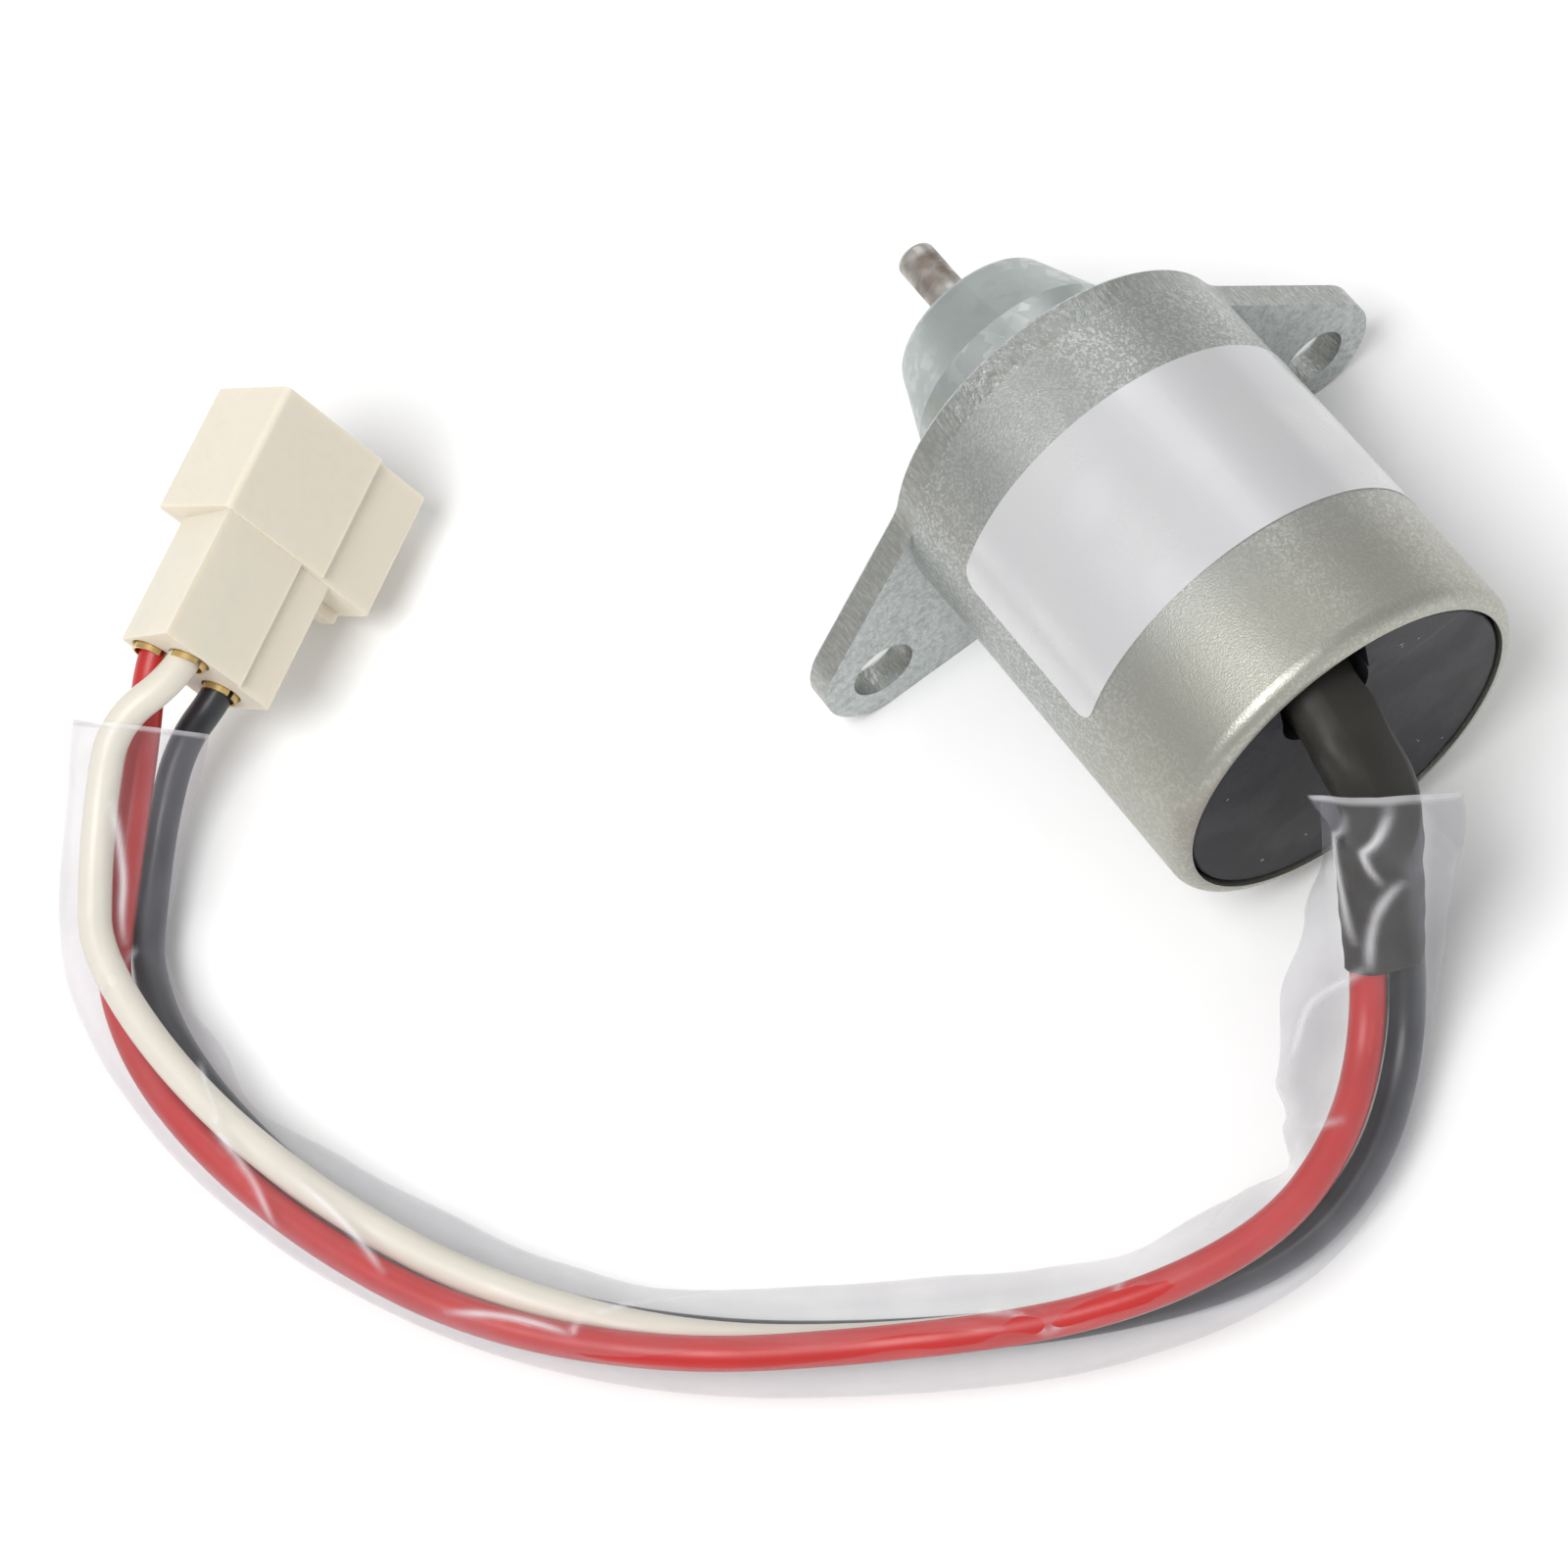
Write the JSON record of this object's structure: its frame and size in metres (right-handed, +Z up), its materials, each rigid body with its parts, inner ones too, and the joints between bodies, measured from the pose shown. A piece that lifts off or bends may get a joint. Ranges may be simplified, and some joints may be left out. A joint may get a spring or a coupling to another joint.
{
  "type": "fuel shutoff solenoid",
  "caption": "Pull-in solenoid in a drawn can with a two-ear mounting flange, cone nose, sprung rod, and a sleeved wire lead ending in a plastic connector.",
  "frame": {"origin": "centre of the pilot, in the plane of the flange's mounting face", "axes": "+X along the rod towards its free end, +Y along the line through the two bolt holes, +Z up; the flange's straight lower edge lies level"},
  "size_m": [0.1356, 0.1421, 0.0396],
  "materials": {
    "zinc_plate": "zinc plated, sheared edges",
    "die_cast": "die-cast zinc, smooth",
    "can": "zinc plated, fine grain",
    "black_cap": "flat black",
    "potting": "cured resin",
    "rod_steel": "ground steel, lightly stained",
    "core_steel": "turned steel",
    "brass": "drawn brass",
    "bronze": "sintered bronze",
    "seal_rubber": "soft rubber",
    "nylon_dark": "glass-filled nylon",
    "copper": "enamelled copper",
    "tape": "polyester tape",
    "spring_steel": "spring wire",
    "label_film": "blank silver film",
    "connector_nylon": "natural nylon",
    "red_pvc": "insulation",
    "white_pvc": "insulation",
    "black_pvc": "insulation",
    "shrink": "heat-shrink tube",
    "clear_film": "clear soft film"
  },
  "bodies": {
    "solenoid": {"mounting_flange": "zinc_plate", "nose_housing": "die_cast", "can": "can", "end_cap": "black_cap", "potting": "potting", "rod_bush": "bronze", "rod_seal": "seal_rubber", "guide_tube": "brass", "fixed_pole": "core_steel", "rear_flux_plate": "core_steel", "front_flux_ring": "core_steel", "seat_washer": "seal_rubber", "bobbin": "nylon_dark", "pull_coil": "copper", "hold_coil": "copper", "coil_tape": "tape", "outer_tape": "tape", "coil_tail": "copper", "return_spring": "spring_steel", "label": "label_film", "connector_housing": "connector_nylon", "terminal_red": "brass", "terminal_white": "brass", "terminal_black": "brass", "wire_red": "red_pvc", "wire_white": "white_pvc", "wire_black": "black_pvc", "shrink_sleeve": "shrink", "film_sleeve": "clear_film"},
    "rod": {"plunger": "core_steel", "plunger_rod": "rod_steel"}
  },
  "joints": [
    {"name": "rod_slide", "type": "slide", "parent": "solenoid", "child": "rod", "axis": [1, 0, 0], "range_m": [-0.008, 0], "stiffness_N_per_m": 900, "springref_m": 0.01, "deforming": ["return_spring"]}
  ]
}
